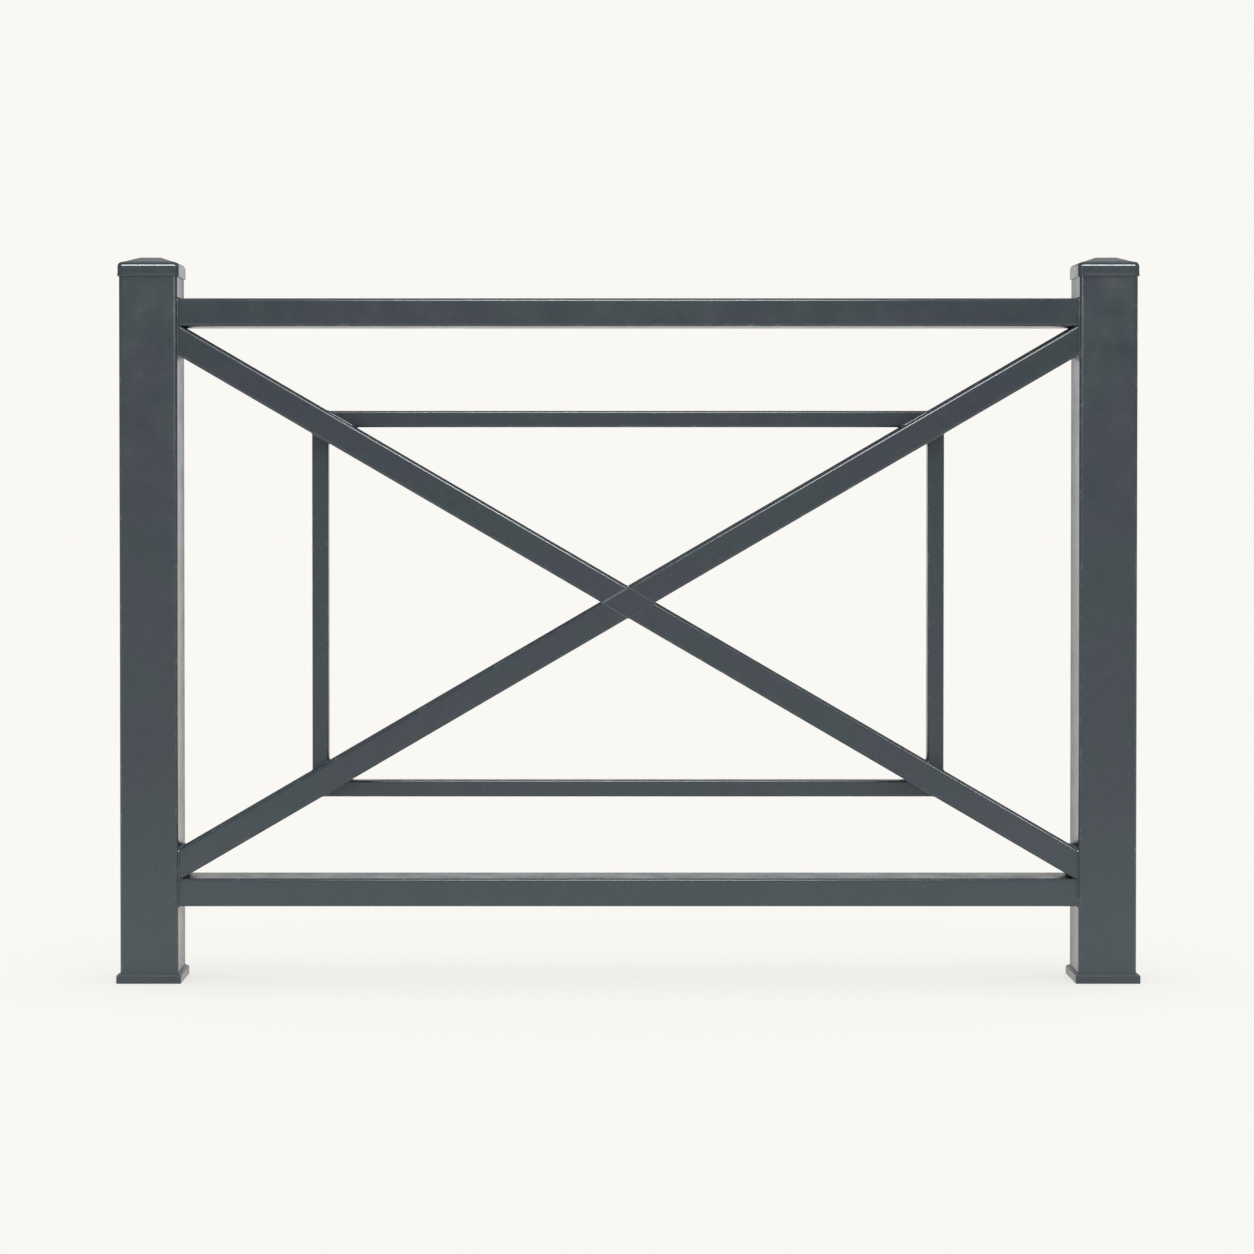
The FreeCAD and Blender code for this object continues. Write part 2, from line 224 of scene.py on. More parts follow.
def make_world():
    """A plain backdrop for the camera, and the light round the railing.

    Matt surfaces are lit by a soft sky that is brighter overhead and in front. Glossy coats
    reflect a studio with a pale backdrop behind and a dim room in front.
    """
    world = bpy.data.worlds.new("studio")
    bpy.context.scene.world = world
    tree = Tree(world)
    direction = tree.add("ShaderNodeTexCoord").outputs["Generated"]
    split = tree.add("ShaderNodeSeparateXYZ", {0: direction}).outputs
    side = tree.math("ABSOLUTE", split[0])
    toward_camera = tree.math("MULTIPLY", split[1], -1.0)
    height = tree.math("MAXIMUM", split[2], 0.0)
    overhead_light = tree.math("POWER", height, SKY_OVERHEAD_POWER)
    overhead_light = tree.math("MULTIPLY", overhead_light, SKY_OVERHEAD)
    tilt = tree.math("MULTIPLY", tree.math("MULTIPLY", toward_camera, height), SKY_TILT)
    sky_level = tree.math("ADD", tree.math("ADD", overhead_light, tilt), SKY_HORIZON)
    turn = tree.math("ARCTAN2", side, toward_camera)
    turn = tree.math("MULTIPLY", turn, math.degrees(1))
    rise = tree.math("MULTIPLY", tree.math("ARCSINE", split[2]), math.degrees(1))
    front = tree.ramp(turn, *FRONT_TO_SIDE, FRONT_LEVEL, SIDE_LEVEL)
    wall = tree.ramp(rise, *BACK_TO_UPPER, BACK_LEVEL, BACK_UPPER_LEVEL)
    back = tree.ramp(rise, *UPPER_TO_CANOPY, wall, CANOPY_LEVEL)
    room = tree.ramp(turn, *SIDE_TO_BACK, front, back)
    overhead = tree.ramp(rise, *ROOM_TO_TOP)
    level = tree.mix(overhead, room, (TOP_LEVEL, TOP_LEVEL, TOP_LEVEL, 1.0))
    reflected = tree.add("ShaderNodeBackground", {"Color": level, "Strength": 1.0})
    sky = tree.add("ShaderNodeBackground", {"Strength": sky_level, "Color": (1, 1, 1, 1)})
    backdrop = tree.add("ShaderNodeBackground", {"Color": linear(BACKGROUND), "Strength": 1.0})
    paths = tree.add("ShaderNodeLightPath").outputs
    lighting = tree.add(
        "ShaderNodeMixShader",
        {0: paths["Is Glossy Ray"], 1: sky.outputs[0], 2: reflected.outputs[0]},
    )
    whole = tree.add(
        "ShaderNodeMixShader",
        {0: paths["Is Camera Ray"], 1: lighting.outputs[0], 2: backdrop.outputs[0]},
    )
    tree.add("ShaderNodeOutputWorld", {"Surface": whole.outputs[0]})
    world.cycles.sampling_method = "NONE"


# Soft boxes in front of the railing and above it
BOX_DEPTH = FRONT_PLANE - 1.2
BOX_HEIGHT = 1.75
BOX_AIM_HEIGHT = 0.75
BOX_TALL = 0.5
BOX_RADIANCE = 23.0
POST_BOX_WIDTH = 3.0
BAY_BOX_WIDTH = 0.9
BRACE_BOXES = {
    "brace_upper_box": {"shift": -0.1, "width": 0.5, "radiance": 10.0},
    "brace_box": {"shift": 0.43, "width": 0.56, "radiance": 30.0},
    "brace_lower_box": {"shift": 1.88, "width": 0.4, "radiance": 40.0},
}
SIDE_BOX_TURN = math.radians(40)
SIDE_BOX_DISTANCE = 3.0
SIDE_BOX_HEIGHT = 1.8
SIDE_BOX_AIM_HEIGHT = 0.8
SIDE_BOX_SIZE = (0.6, 1.3)
SIDE_BOX_RADIANCE = 14.0


def make_soft_box(name, place, aim, size, radiance, receivers, link_state="INCLUDE"):
    """An area light of even radiance that lights only, or all but, the pieces given."""
    data = bpy.data.lights.new(name, "AREA")
    data.shape = "RECTANGLE"
    data.size, data.size_y = size
    data.energy = radiance * math.pi * size[0] * size[1]
    lamp = bpy.data.objects.new(name, data)
    lamp.location = place
    toward = Vector(aim) - Vector(place)
    lamp.rotation_euler = toward.to_track_quat("-Z", "Y").to_euler()
    lamp.visible_camera = False
    lamp.visible_diffuse = False
    group = bpy.data.collections.new(name + "_receivers")
    for receiver in receivers:
        group.objects.link(receiver)
    for member in group.collection_objects:
        member.light_linking.link_state = link_state
    lamp.light_linking.receiver_collection = group
    bpy.context.scene.collection.objects.link(lamp)


def make_soft_boxes(post_pieces):
    """Light the railing from the front.

    The posts, caps, collars and corner welds, which are given, mirror a wide box, the bay a
    narrow one near mid-span, and the falling brace three along its length. One more from
    each far side edges the inner corner of the post it faces.
    """
    falling = nodes["falling_brace"]
    apart = post_pieces + [falling]
    post_box = {"shift": 0.0, "width": POST_BOX_WIDTH, "radiance": BOX_RADIANCE}
    bay_box = {"shift": 0.0, "width": BAY_BOX_WIDTH, "radiance": BOX_RADIANCE}
    boxes = [("post_box", post_box, post_pieces, "INCLUDE")]
    boxes += [("bay_box", bay_box, apart, "EXCLUDE")]
    boxes += [(name, box, [falling], "INCLUDE") for name, box in BRACE_BOXES.items()]
    for name, box, pieces, link_state in boxes:
        across = MID_SPAN + box["shift"]
        place = (across, BOX_DEPTH, BOX_HEIGHT)
        aim = (across, 0.0, BOX_AIM_HEIGHT)
        size = (box["width"], BOX_TALL)
        make_soft_box(name, place, aim, size, box["radiance"], pieces, link_state)
    for end, inward in (("left", 1), ("right", -1)):
        foot = POST_CENTRES[end]
        place = (
            foot + inward * SIDE_BOX_DISTANCE * math.sin(SIDE_BOX_TURN),
            -SIDE_BOX_DISTANCE * math.cos(SIDE_BOX_TURN),
            SIDE_BOX_HEIGHT,
        )
        aim = (foot, 0.0, SIDE_BOX_AIM_HEIGHT)
        post = nodes[end + "_post"]
        make_soft_box(
            end + "_side_box", place, aim, SIDE_BOX_SIZE, SIDE_BOX_RADIANCE, [post]
        )


# Floor: the backdrop's colour, with a share of the real shading and a darker contact shade
FLOOR_HALF = 30.0
FLOOR_SHADE = 0.12
CONTACT_REACH = 0.22
CONTACT_SAMPLES = 8
CONTACT_SHADE = 0.17


def make_floor():
    mesh = bpy.data.meshes.new("floor")
    corners = [(-FLOOR_HALF, -FLOOR_HALF, 0), (FLOOR_HALF, -FLOOR_HALF, 0)]
    corners += [(FLOOR_HALF, FLOOR_HALF, 0), (-FLOOR_HALF, FLOOR_HALF, 0)]
    mesh.from_pydata(corners, [], [(0, 1, 2, 3)])
    floor = bpy.data.objects.new("floor", mesh)
    bpy.context.scene.collection.objects.link(floor)
    material = bpy.data.materials.new("floor")
    tree = Tree(material)
    openness = tree.add(
        "ShaderNodeAmbientOcclusion", {"Distance": CONTACT_REACH}, samples=CONTACT_SAMPLES
    )
    contact = tree.ramp(openness.outputs["AO"], 0.0, 1.0, 1 - CONTACT_SHADE, 1.0, "LINEAR")
    tone = tree.add("ShaderNodeCombineColor", {0: contact, 1: contact, 2: contact}).outputs[0]
    floor_colour = tree.mix(1.0, linear(BACKGROUND), tone, "MULTIPLY")
    matt = tree.add("ShaderNodeBsdfDiffuse", {"Color": floor_colour})
    plain = tree.add("ShaderNodeEmission", {"Color": floor_colour, "Strength": 1.0})
    paths = tree.add("ShaderNodeLightPath").outputs
    seen = tree.math("ADD", paths["Is Camera Ray"], paths["Is Glossy Ray"], clamp=True)
    lift = tree.math("MULTIPLY", seen, 1 - FLOOR_SHADE)
    shader = tree.add("ShaderNodeMixShader", {0: lift, 1: matt.outputs[0], 2: plain.outputs[0]})
    tree.add("ShaderNodeOutputMaterial", {"Surface": shader.outputs[0]})
    mesh.materials.append(material)


# The coat's noises, as scale per metre, detail and roughness
CLOUD_NOISE = (7.0, 3.0, 0.55)
GRAIN_NOISE = (90.0, 2.0, 0.6)
SCUFF_NOISE = (420.0, 2.0, 0.6)
SCUFF_ZONE_NOISE = (14.0, 2.0, 0.5)
NICK_NOISE = (55.0, 4.0, 0.7)
SATIN_NOISE = (22.0, 3.0, 0.6)
PEEL_NOISE = (620.0, 2.0, 0.5)
WAVE_NOISE = (130.0, 1.0, 0.5)

# Faint clouds of a second tint, and a fine grain of tone
CLOUD_RANGE = (0.38, 0.62)
GRAIN_RANGE = (0.3, 0.7)
GRAIN_TONES = (0.94, 1.06)

# A little dust toward the ground; on the collars' up-facing ledges, dust and a painted highlight
DUST_TOP = 0.33
DUST_FULL = 0.0
DUST_CLOUD_RANGE = (0.2, 0.6)
DUST_CLOUD_SHARES = (0.8, 1.0)
LEDGE_RANGE = (0.3, 0.7)

# Specks of scuff, gathered in zones
SCUFF_RANGE = (0.70, 0.78)
SCUFF_ZONE_RANGE = (0.52, 0.66)
SCUFF_SHARE = 0.3
SCUFF_ROUGHNESS = 0.15

# Rubbed edges, found by the depth part of their normals: worn nicks, and a faint painted
# highlight along every rounded edge
EDGE_RANGE = (0.1, 0.4)
FACE_RANGE = (0.98, 0.85)
NICK_RANGE = (0.52, 0.68)
EDGE_HIGHLIGHT_LEAST = 0.06
NICK_AND_HIGHLIGHT_MOST = 0.6

# Roughness: uneven all over, and on the faces toward the railing's ends smoother at the front
SATIN_RANGE = (0.3, 0.7)
SATIN_LESS = 0.04
SATIN_MORE = 0.05
END_FACE_RANGE = (0.8, 0.98)
SMOOTH_FRONT = -0.08
ROUGH_BACK = 0.09

# Dull tops, found by the height part of their normals, on the caps only toward the back
DULL_RANGE = (0.5, 0.8)
DULL_BACK_RANGE = (-0.25, -0.05)
DULL_ROUGHNESS = 0.4
DULL_GLOSS_LOSS = 0.4

# Gloss and orange peel
COAT_IOR = 1.5
COAT_GLOSS = 0.5
PEEL_DEPTH = 0.05 * MM
WAVE_SHARE = 1.6


def powder_coat(
    name,
    roughness=0.24,
    peel=0.2,
    tint=COAT,
    cool=COAT_COOL,
    edge_wear_and_highlight=1.0,
    dust_share=0.65,
    ledge_dust_and_highlight=0.0,
    dull_tops=False,
    keep_front=False,
):
    """Satin powder coat: fine orange peel, faint cloudy colour, specks, and rubbed edges with a
    painted highlight along them; on up-facing ledges, dust with a painted highlight.
    """
    material = bpy.data.materials.new(name)
    tree = Tree(material)
    coords = tree.add("ShaderNodeTexCoord").outputs
    place = coords["Object"]
    cloud = tree.noise(place, *CLOUD_NOISE)
    colour = tree.mix(tree.ramp(cloud, *CLOUD_RANGE), linear(tint), linear(cool))
    grain = tree.noise(place, *GRAIN_NOISE)
    shade = tree.ramp(grain, *GRAIN_RANGE, *GRAIN_TONES, "LINEAR")
    tone = tree.add("ShaderNodeCombineColor", {0: shade, 1: shade, 2: shade}).outputs[0]
    colour = tree.mix(1.0, colour, tone, "MULTIPLY")
    spot = tree.add("ShaderNodeSeparateXYZ", {0: place}).outputs
    dust_and_ledge_highlight = tree.math("MULTIPLY", tree.ramp(spot[2], DUST_TOP, DUST_FULL), dust_share)
    patches = tree.ramp(cloud, *DUST_CLOUD_RANGE, *DUST_CLOUD_SHARES)
    dust_and_ledge_highlight = tree.math("MULTIPLY", dust_and_ledge_highlight, patches)
    normal = tree.add("ShaderNodeSeparateXYZ", {0: coords["Normal"]}).outputs
    # Up-facing ledges are lighter: settled dust and a painted highlight
    settled_dust_and_highlight = tree.ramp(normal[2], *LEDGE_RANGE, 0.0, ledge_dust_and_highlight)
    dust_and_ledge_highlight = tree.math("ADD", dust_and_ledge_highlight, settled_dust_and_highlight, clamp=True)
    colour = tree.mix(dust_and_ledge_highlight, colour, linear(COAT_DUST_AND_HIGHLIGHT))
    scuff_spots = tree.ramp(tree.noise(place, *SCUFF_NOISE), *SCUFF_RANGE)
    scuff_zones = tree.ramp(tree.noise(place, *SCUFF_ZONE_NOISE), *SCUFF_ZONE_RANGE)
    scuffs = tree.math("MULTIPLY", scuff_spots, scuff_zones)
    scuffs = tree.math("MULTIPLY", scuffs, SCUFF_SHARE)
    colour = tree.mix(scuffs, colour, linear(COAT_WORN))
    facing = tree.math("ABSOLUTE", normal[1])
    off_side = tree.ramp(facing, *EDGE_RANGE)
    off_face = tree.ramp(facing, *FACE_RANGE)
    edges = tree.math("MULTIPLY", off_side, off_face)
    nick_noise = tree.noise(place, *NICK_NOISE)
    nicks_and_edge_highlight = tree.ramp(nick_noise, *NICK_RANGE, EDGE_HIGHLIGHT_LEAST * edge_wear_and_highlight, NICK_AND_HIGHLIGHT_MOST * edge_wear_and_highlight)
    # Rounded edges are lighter: worn nicks, and a faint painted highlight all along them
    colour = tree.mix(tree.math("MULTIPLY", edges, nicks_and_edge_highlight), colour, linear(COAT_RUBBED_AND_HIGHLIGHT))
    satin = tree.noise(place, *SATIN_NOISE)
    smoothest = roughness - SATIN_LESS
    roughest = roughness + SATIN_MORE
    rough = tree.ramp(satin, *SATIN_RANGE, smoothest, roughest, "LINEAR")
    rough = tree.math("ADD", rough, tree.math("MULTIPLY", scuffs, SCUFF_ROUGHNESS))
    end_face = tree.ramp(tree.math("ABSOLUTE", normal[0]), *END_FACE_RANGE)
    depth = tree.ramp(spot[1], -POST_HALF, POST_HALF, SMOOTH_FRONT, ROUGH_BACK, "LINEAR")
    rough = tree.math("ADD", rough, tree.math("MULTIPLY", end_face, depth))
    gloss = COAT_GLOSS
    if dull_tops:
        dull = tree.ramp(normal[2], *DULL_RANGE)
        if keep_front:
            dull = tree.math("MULTIPLY", dull, tree.ramp(normal[1], *DULL_BACK_RANGE))
        rough = tree.math("ADD", rough, tree.math("MULTIPLY", dull, DULL_ROUGHNESS))
        gloss = tree.math("SUBTRACT", gloss, tree.math("MULTIPLY", dull, DULL_GLOSS_LOSS))
    peel_height = tree.noise(place, *PEEL_NOISE)
    wave_height = tree.noise(place, *WAVE_NOISE)
    height = tree.math("ADD", peel_height, tree.math("MULTIPLY", wave_height, WAVE_SHARE))
    bump = tree.add(
        "ShaderNodeBump", {"Strength": peel, "Distance": PEEL_DEPTH, "Height": height}
    ).outputs[0]
    shader = tree.add(
        "ShaderNodeBsdfPrincipled",
        {
            "Base Color": colour,
            "Roughness": rough,
            "IOR": COAT_IOR,
            "Specular IOR Level": gloss,
            "Normal": bump,
        },
    )
    tree.add("ShaderNodeOutputMaterial", {"Surface": shader.outputs[0]})
    return material


def dress(names, material):
    """Give the CAD nodes named one finish."""
    for name in names:
        slots = nodes[name].data.materials
        slots.clear()
        slots.append(material)


def new_piece(name, mesh, material, replaced=()):
    """Link a piece to the scene, on the railing's body, with its finish and what it replaces."""
    piece = bpy.data.objects.new(name, mesh)
    bpy.context.scene.collection.objects.link(piece)
    mesh.materials.append(material)
    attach(piece, "root")
    if replaced:
        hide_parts(*replaced)
    return piece


def ring_mesh(name, rows, closed):
    """A mesh from equal rings of points, joined into quads, the last to the first if closed."""
    count = len(rows)
    width = len(rows[0])
    faces = []
    for row in range(count if closed else count - 1):
        below = row * width
        above = (row + 1) % count * width
        for step in range(width):
            after = (step + 1) % width
            faces.append((below + step, below + after, above + after, above + step))
    points = [tuple(point) for row in rows for point in row]
    mesh = bpy.data.meshes.new(name)
    mesh.from_pydata(points, [], faces)
    return mesh


def finish_mesh(mesh, sharp_angle):
    """Point the faces outward and shade them smoothly, with sharp edges past an angle."""
    work = bmesh.new()
    work.from_mesh(mesh)
    bmesh.ops.recalc_face_normals(work, faces=work.faces)
    work.to_mesh(mesh)
    work.free()
    mesh.shade_smooth()
    mesh.set_sharp_from_angle(angle=sharp_angle)


# Caps and collars: rings of a rounded square, stacked along a profile
RING_CORNER_STEPS = 10
RING_SHARP_ANGLE = math.radians(50)
CAP_PROFILE_STEPS = 8
COLLAR_PROFILE_STEPS = 6
MERGE_REACH = 0.001 * MM
CAP_HALF = 42.5 * MM
CAP_CORNER = 8.5 * MM
CAP_SOCKET_HALF = 40.3 * MM
CAP_SOCKET_CORNER = 6.3 * MM
CAP_FLAT_HALF = 14.5 * MM
CAP_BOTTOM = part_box("left_post_cap")[0].z
CAP_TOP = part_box("left_post_cap")[1].z
CAP_BEVEL_FOOT = CAP_TOP - 13.2 * MM
CAP_BEVEL_EASE = 3.5 * MM
CAP_RIM_HEIGHT = 3.0 * MM
CAP_RIM_STEP = 0.3 * MM
CAP_RIM_SLOPE = 0.6 * MM
CAP_RIM_EASE = 0.12 * MM
CAP_EAVE_HALF = 41.0 * MM
CAP_EAVE_HEIGHT = CAP_TOP - 8.6 * MM
CAP_EAVE_RADIUS = 6.3 * MM
CAP_LIP_RADIUS = 1.4 * MM
CAP_LIP_INNER_RADIUS = 0.5 * MM
CAP_LIP_MARGIN = 0.5 * MM
CAP_BRIM_HALF = 31 * MM
CAP_BRIM_HEIGHT = CAP_TOP - 5.9 * MM
CAP_BRIM_EASE = 12 * MM
CAP_FLAT_EASE = 5 * MM
CAP_HIP_RADIUS = 2.2 * MM
CAP_CORNER_TAPER = 1.2
POST_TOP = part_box("left_post")[1].z

COLLAR_HALF = box_size("left_ground_collar", 0) / 2
COLLAR_TOP = box_size("left_ground_collar", 2) - 0.6 * MM
COLLAR_CORNER = 1.2 * MM
COLLAR_HOLE_HALF = 40.3 * MM
COLLAR_HOLE_CORNER = 6.3 * MM
COLLAR_BEVEL_WIDTH = 3.9 * MM
COLLAR_BEVEL_HEIGHT = 2.9 * MM
COLLAR_EASE = 0.45 * MM
COLLAR_RIM_EASE = 0.2 * MM
COLLAR_FOOT_EASE = 0.4 * MM


def eased(profile, steps):
    """A profile of (half width, height, radius) corners with each corner rounded."""
    out = []
    for index, (half, height, radius) in enumerate(profile):
        here = Vector((half, height))
        if radius == 0:
            out.append(here)
            continue
        before = Vector(profile[index - 1][:2]) - here
        after = Vector(profile[(index + 1) % len(profile)][:2]) - here
        before.normalize()
        after.normalize()
        opening = math.acos(max(-1, min(1, before.dot(after)))) / 2
        reach = radius / math.tan(opening)
        centre = here + (before + after).normalized() * (radius / math.sin(opening))
        first = here + before * reach - centre
        last = here + after * reach - centre
        sweep = first.angle_signed(last)
        for step in range(steps + 1):
            turn = sweep * step / steps
            spoke = Vector(
                (
                    first.x * math.cos(turn) + first.y * math.sin(turn),
                    -first.x * math.sin(turn) + first.y * math.cos(turn),
                )
            )
            out.append(centre + spoke)
    return out


def square_ring(centre_x, half, corner, height):
    """Points round a square of half width, with rounded corners, at one height."""
    points = []
    for quarter in range(4):
        sign_x = (1, -1, -1, 1)[quarter]
        sign_y = (1, 1, -1, -1)[quarter]
        for step in range(RING_CORNER_STEPS + 1):
            turn = math.pi / 2 * (quarter + step / RING_CORNER_STEPS)
            x = sign_x * (half - corner) + corner * math.cos(turn)
            y = sign_y * (half - corner) + corner * math.sin(turn)
            points.append(Vector((centre_x + x, y, height)))
    return points


def cap_corner(half):
    """The corner radius of the cap's roof at one half width: round outside, hipped inside."""
    return max(CAP_HIP_RADIUS, CAP_CORNER - (CAP_HALF - CAP_RIM_STEP - half) * CAP_CORNER_TAPER)


def cap_mesh(name, centre_x):
    skirt_half = CAP_HALF - CAP_RIM_STEP
    profile = [
        (CAP_SOCKET_HALF, POST_TOP, 0),
        (CAP_SOCKET_HALF, CAP_BOTTOM, CAP_LIP_INNER_RADIUS),
        (CAP_HALF, CAP_BOTTOM, CAP_LIP_RADIUS),
        (CAP_HALF, CAP_BOTTOM + CAP_RIM_HEIGHT, CAP_RIM_EASE),
        (skirt_half, CAP_BOTTOM + CAP_RIM_HEIGHT + CAP_RIM_SLOPE, CAP_RIM_EASE),
        (skirt_half, CAP_BEVEL_FOOT, CAP_BEVEL_EASE),
        (CAP_EAVE_HALF, CAP_EAVE_HEIGHT, CAP_EAVE_RADIUS),
        (CAP_BRIM_HALF, CAP_BRIM_HEIGHT, CAP_BRIM_EASE),
        (CAP_FLAT_HALF, CAP_TOP, CAP_FLAT_EASE),
        (CAP_HIP_RADIUS, CAP_TOP, 0),
    ]
    rings = []
    for half, height in eased(profile, CAP_PROFILE_STEPS):
        above_lip = height > CAP_BOTTOM + CAP_LIP_RADIUS
        outside = half > CAP_SOCKET_HALF + CAP_LIP_MARGIN
        if height > CAP_BEVEL_FOOT:
            corner = cap_corner(half)
        elif above_lip and outside:
            corner = CAP_CORNER
        else:
            blend = (half - CAP_SOCKET_HALF) / (CAP_HALF - CAP_SOCKET_HALF)
            corner = CAP_SOCKET_CORNER + (CAP_CORNER - CAP_SOCKET_CORNER) * max(blend, 0)
        rings.append(square_ring(centre_x, half, min(corner, half), height))
    mesh = ring_mesh(name, rings, closed=False)
    close_ends(mesh, len(rings[0]))
    finish_mesh(mesh, RING_SHARP_ANGLE)
    return mesh


def close_ends(mesh, width):
    """Fill the first and last ring of a stack of rings."""
    work = bmesh.new()
    work.from_mesh(mesh)
    work.verts.ensure_lookup_table()
    work.faces.new(work.verts[:width])
    work.faces.new(work.verts[-width:])
    bmesh.ops.remove_doubles(work, verts=work.verts, dist=MERGE_REACH)
    work.to_mesh(mesh)
    work.free()


def collar_mesh(name, centre_x):
    rim_half = COLLAR_HALF - COLLAR_BEVEL_WIDTH
    profile = [
        (COLLAR_HOLE_HALF, 0, 0),
        (COLLAR_HOLE_HALF, COLLAR_TOP, 0),
        (rim_half, COLLAR_TOP, COLLAR_RIM_EASE),
        (COLLAR_HALF, COLLAR_TOP - COLLAR_BEVEL_HEIGHT, COLLAR_EASE),
        (COLLAR_HALF, 0, COLLAR_FOOT_EASE),
    ]
    rings = []
    for half, height in eased(profile, COLLAR_PROFILE_STEPS):
        hole = half < COLLAR_HOLE_HALF + COLLAR_RIM_EASE / 2
        corner = COLLAR_HOLE_CORNER if hole else COLLAR_CORNER
        rings.append(square_ring(centre_x, half, corner, height))
    mesh = ring_mesh(name, rings, closed=True)
    finish_mesh(mesh, RING_SHARP_ANGLE)
    return mesh


# Weld beads. Ripples lag behind in the middle of the bead and fade out at its edges.
RIPPLE_PITCH = 2.1 * MM
RIPPLE_HEIGHT = 0.16 * MM
RIPPLE_LAG = 0.55
RIPPLE_POWER = 0.7
RIPPLE_FADE = 1.6
BEAD_STEP = 0.36 * MM
BEAD_SIDE_STEPS = 9
BEAD_EMBED = 0.2 * MM
BEAD_BULGE = 0.2
BEAD_WOBBLE = 0.035
BEAD_WOBBLE_WAVES = (3, 7, 12)
BEAD_SHARP_ANGLE = math.radians(60)
DIAGONAL = 0.7071
POST_WELD_LEG = 2.1 * MM
INNER_WELD_LEG = 1.9 * MM
FOOTPRINT_CORNER_STEPS = 12
LEAN_BLEND = 4 * MM
CORNER_WELD_SEED = 11
INNER_WELD_SEED = 31


def resampled(points, step):
    """Even points round a closed path, how far along it each lies, and its whole length."""
    path = np.array([tuple(point) for point in points] + [tuple(points[0])])
    lengths = np.linalg.norm(np.diff(path, axis=0), axis=1)
    travelled = np.concatenate([[0], np.cumsum(lengths)])
    count = round(travelled[-1] / step)
    places = np.linspace(0, travelled[-1], count, endpoint=False)
    even = [np.interp(places, travelled, path[:, axis]) for axis in range(3)]
    return np.stack(even, axis=1), places, travelled[-1]


def bead_mesh(name, path, seat_normal, lean_at, leg, seed):
    """A rippled fillet bead round a closed path on a seat plane.

    lean_at gives the direction of the bar at a point of the path, along which the bead climbs.
    """
    rng = np.random.default_rng(seed)
    points, places, total = resampled(path, BEAD_STEP)
    count = len(points)
    ripples = round(total / RIPPLE_PITCH)
    wobble_phase = rng.uniform(0, 2 * math.pi, len(BEAD_WOBBLE_WAVES))
    normal = np.array(tuple(seat_normal))
    centre = points.mean(axis=0)
    ahead = np.roll(points, -1, axis=0) - np.roll(points, 1, axis=0)
    ahead /= np.linalg.norm(ahead, axis=1)[:, None]
    out_dirs = np.cross(ahead, normal)
    flip = np.sign(np.sum(out_dirs * (points - centre), axis=1).sum())
    out_dirs *= flip
    rows = []
    for index in range(count):
        turn = places[index] / total * 2 * math.pi
        wobble = sum(
            BEAD_WOBBLE * math.sin(turn * waves + phase)
            for waves, phase in zip(BEAD_WOBBLE_WAVES, wobble_phase)
        )
        size = leg * (1 + wobble)
        out = out_dirs[index]
        climb = lean_at(points[index])
        climb = climb / np.dot(climb, normal)
        row = []
        for side in range(BEAD_SIDE_STEPS + 1):
            share = side / BEAD_SIDE_STEPS
            swell = math.sin(math.pi * share)
            phase = places[index] / total * ripples - RIPPLE_LAG * swell
            ripple = RIPPLE_HEIGHT * ((phase % 1.0) ** RIPPLE_POWER - 0.5)
            bulge = BEAD_BULGE * size * swell + ripple * min(1, RIPPLE_FADE * swell)
            flat = out * size * (1 - share) + climb * size * share
            lift = out * DIAGONAL + normal * DIAGONAL
            row.append(points[index] + flat + lift * bulge)
        row[0] = row[0] - normal * BEAD_EMBED
        row[-1] = row[-1] - out * BEAD_EMBED
        row.append(points[index] - out * BEAD_EMBED - normal * BEAD_EMBED)
        rows.append(row)
    mesh = ring_mesh(name, rows, closed=True)
    finish_mesh(mesh, BEAD_SHARP_ANGLE)
    return mesh


def bar_footprint(centre, across, half_across, half_depth, corner, lean):
    """The rounded outline that a bar leaves on its seat plane, stretched where it leans."""
    points = []
    for quarter in range(4):
        sign_u = (1, -1, -1, 1)[quarter]
        sign_v = (1, 1, -1, -1)[quarter]
        for step in range(FOOTPRINT_CORNER_STEPS + 1):
            turn = math.pi / 2 * (quarter + step / FOOTPRINT_CORNER_STEPS)
            u = sign_u * (half_across - corner) + corner * math.cos(turn)
            v = sign_v * (half_depth - corner) + corner * math.sin(turn)
            points.append(centre + across * (u / lean) + DEPTH * v)
    return points


def corner_path(rail_low, rail_high, brace_height, seat_x, upper):
    """The outline of a rail and a brace together, on the face of a post."""
    lean = math.cos(BRACE_ANGLE)
    half = BRACE_WIDTH / 2 / lean
    rail_end = rail_high if upper else rail_low
    brace_end = brace_height - half if upper else brace_height + half
    top, bottom = (rail_end, brace_end) if upper else (brace_end, rail_end)
    radius_top = RAIL_CORNER if upper else RAIL_CORNER / lean
    radius_bottom = RAIL_CORNER / lean if upper else RAIL_CORNER
    points = []
    for quarter in range(4):
        sign_y = (1, -1, -1, 1)[quarter]
        upward = quarter < 2
        radius = radius_top if upward else radius_bottom
        middle = top - radius_top if upward else bottom + radius_bottom
        for step in range(FOOTPRINT_CORNER_STEPS + 1):
            turn = math.pi / 2 * (quarter + step / FOOTPRINT_CORNER_STEPS)
            y = sign_y * (RAIL_HALF_DEPTH - RAIL_CORNER) + RAIL_CORNER * math.cos(turn)
            z = middle + radius * math.sin(turn)
            points.append(Vector((seat_x, y, z)))
    return points


def mirrored(mesh, name):
    """The same mesh on the other side of mid-span."""
    work = bmesh.new()
    work.from_mesh(mesh)
    for vertex in work.verts:
        vertex.co.x = 2 * MID_SPAN - vertex.co.x
    bmesh.ops.reverse_faces(work, faces=work.faces)
    out = bpy.data.meshes.new(name)
    work.to_mesh(out)
    work.free()
    out.shade_smooth()
    out.set_sharp_from_angle(angle=BEAD_SHARP_ANGLE)
    return out


